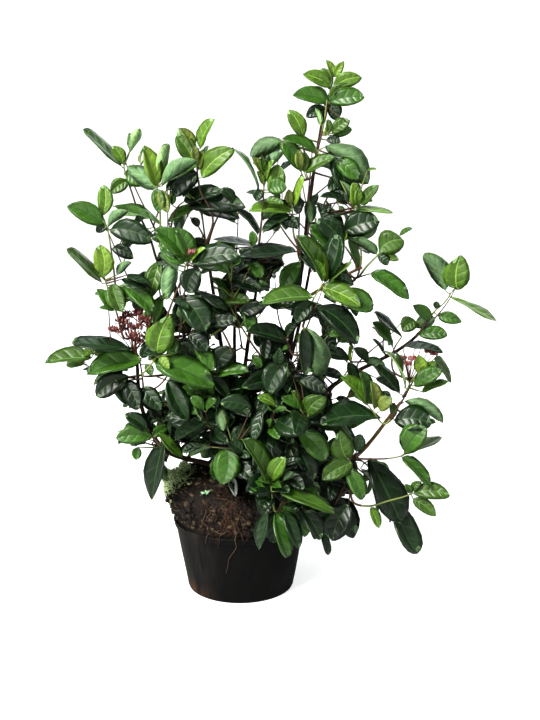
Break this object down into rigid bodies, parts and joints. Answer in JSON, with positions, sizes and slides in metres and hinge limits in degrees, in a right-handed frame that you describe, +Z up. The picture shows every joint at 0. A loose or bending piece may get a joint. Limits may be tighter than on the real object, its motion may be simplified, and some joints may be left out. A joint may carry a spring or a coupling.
{
  "type": "potted laurustinus",
  "caption": "Bushy evergreen patio shrub with dark leathery leaves in opposite pairs and heads of red flower buds, on its root ball in a low round nursery pot.",
  "frame": {"origin": "middle of the pot's flat underside, on the surface that the pot stands on", "axes": "+Z up along the plant's height, -Y towards the side that faces the picture's camera, +X to the right of that view"},
  "size_m": [0.6537, 0.4875, 0.8037],
  "materials": {
    "pot_plastic": "matte",
    "soil": "matte",
    "bark": "matte",
    "foliage": "satin"
  },
  "bodies": {
    "root": {"bough_front": "bark", "bough_left_out": "bark", "bough_right_top": "bark", "foliage_back_left": "foliage", "foliage_back_left_low": "foliage", "foliage_back_left_top": "foliage", "foliage_back_mid": "foliage", "foliage_back_mid_top": "foliage", "foliage_back_right": "foliage", "foliage_back_right_low": "foliage", "foliage_back_right_top": "foliage", "foliage_centre": "foliage", "foliage_centre_front": "foliage", "foliage_centre_left": "foliage", "foliage_centre_top": "foliage", "foliage_crown": "foliage", "foliage_front_left": "foliage", "foliage_front_low": "foliage", "foliage_front_mid": "foliage", "foliage_leader_back": "foliage", "foliage_leader_left": "foliage", "foliage_leader_low": "foliage", "foliage_leader_mid": "foliage", "foliage_leader_right": "foliage", "foliage_left_buds": "foliage", "foliage_left_crown": "foliage", "foliage_left_edge": "foliage", "foliage_left_far": "foliage", "foliage_left_front": "foliage", "foliage_left_high": "foliage", "foliage_left_inner": "foliage", "foliage_left_low": "foliage", "foliage_left_tip": "foliage", "foliage_left_upright": "foliage", "foliage_right_back": "foliage", "foliage_right_buds": "foliage", "foliage_right_foot": "foliage", "foliage_right_front": "foliage", "foliage_right_hang": "foliage", "foliage_right_inner": "foliage", "foliage_right_low": "foliage", "foliage_right_tip": "foliage", "foliage_right_upper": "foliage", "foliage_shoulder": "foliage", "pot": "pot_plastic", "root_ball": "soil", "stem_back_left": "bark", "stem_back_mid": "bark", "stem_back_right": "bark", "stem_centre": "bark", "stem_front": "bark", "stem_leader": "bark", "stem_left_back": "bark", "stem_left_low": "bark", "stem_left_mid": "bark", "stem_right_high": "bark", "stem_right_low": "bark"}
  },
  "joints": []
}
